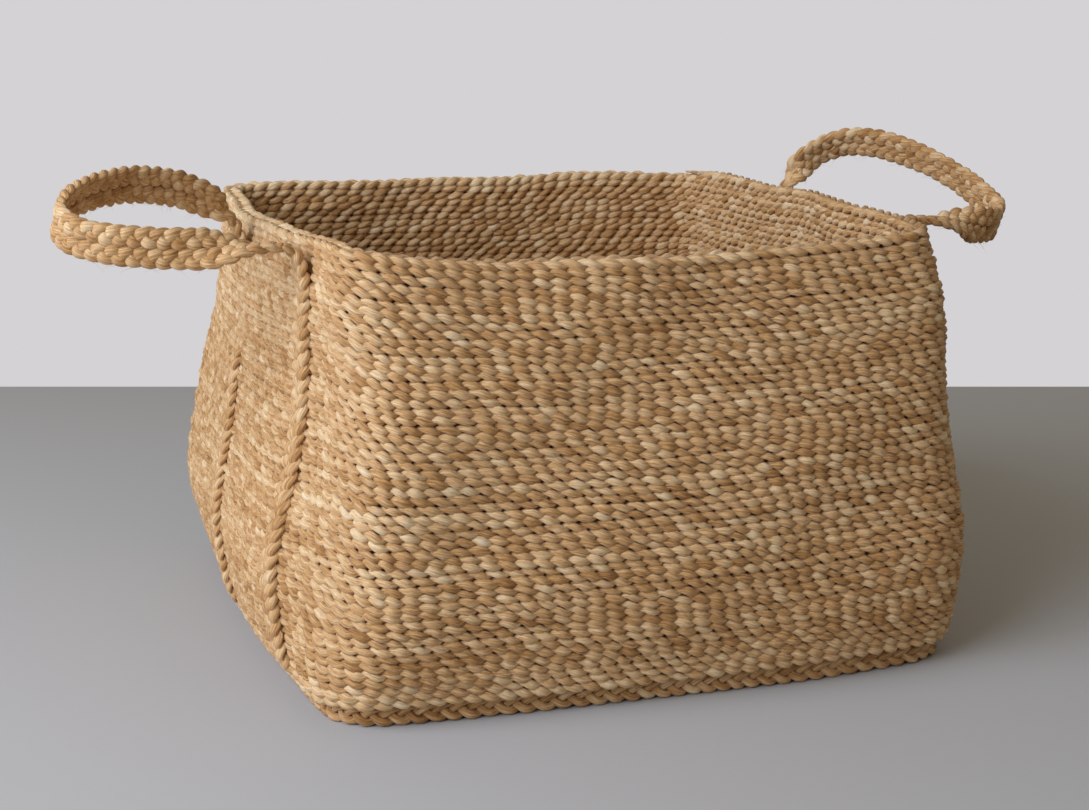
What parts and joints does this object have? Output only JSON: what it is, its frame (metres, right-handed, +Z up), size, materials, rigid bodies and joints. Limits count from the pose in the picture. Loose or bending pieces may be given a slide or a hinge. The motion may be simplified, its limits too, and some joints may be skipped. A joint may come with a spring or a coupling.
{
  "type": "storage basket",
  "caption": "Square open basket of plaited plant fibre on edge, with two soft loop handles whose plaits run down the end walls.",
  "frame": {"origin": "centre of the underside of the base", "axes": "+Z up out of the open top, +X towards the right handle, -Y towards the front"},
  "size_m": [0.6763, 0.478, 0.3492],
  "materials": {
    "wall_plait": "matte",
    "rim_plait": "matte",
    "base_plait": "matte",
    "tail_plait": "matte",
    "handle_plait": "matte"
  },
  "bodies": {
    "basket": {"base_mat": "base_plait", "wall_band_01": "wall_plait", "wall_band_02": "wall_plait", "wall_band_03": "wall_plait", "wall_band_04": "wall_plait", "wall_band_05": "wall_plait", "wall_band_06": "wall_plait", "wall_band_07": "wall_plait", "wall_band_08": "wall_plait", "wall_band_09": "wall_plait", "wall_band_10": "wall_plait", "wall_band_11": "wall_plait", "wall_band_12": "wall_plait", "wall_band_13": "wall_plait", "rim_turn": "rim_plait", "left_front_tail": "tail_plait", "left_rear_tail": "tail_plait", "right_front_tail": "tail_plait", "right_rear_tail": "tail_plait"},
    "left_handle": {"left_carrying_plait": "handle_plait", "left_grip_plait": "handle_plait"},
    "right_handle": {"right_carrying_plait": "handle_plait", "right_grip_plait": "handle_plait"}
  },
  "joints": [
    {"name": "left_handle_turn", "type": "hinge", "parent": "basket", "child": "left_handle", "pos_m": [-0.223, -0.068, 0.292], "axis": [0, 1, 0], "range_deg": [-40, 65]},
    {"name": "right_handle_turn", "type": "hinge", "parent": "basket", "child": "right_handle", "pos_m": [0.223, -0.023, 0.292], "axis": [0, -1, 0], "range_deg": [-40, 60]}
  ]
}
